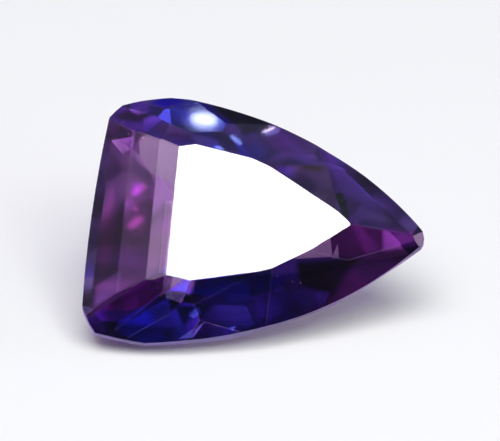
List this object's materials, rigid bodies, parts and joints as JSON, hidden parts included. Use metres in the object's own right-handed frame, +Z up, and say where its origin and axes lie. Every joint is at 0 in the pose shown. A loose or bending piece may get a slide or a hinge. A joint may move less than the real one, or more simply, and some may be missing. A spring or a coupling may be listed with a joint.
{
  "type": "faceted gemstone",
  "caption": "Loose violet-blue gemstone in a faceted shield cut: flat table, stepped base edge, two bowed long sides and a blunt apex, lying on a facet of its underside.",
  "frame": {"origin": "middle of the stone's box, on the surface that the stone lies on", "axes": "+X from the base edge towards the apex, -Y the way the table is tipped, +Z up"},
  "size_m": [0.0164, 0.01, 0.0089],
  "materials": {
    "tanzanite": "polished"
  },
  "bodies": {
    "root": {"tanzanite": "tanzanite"}
  },
  "joints": []
}
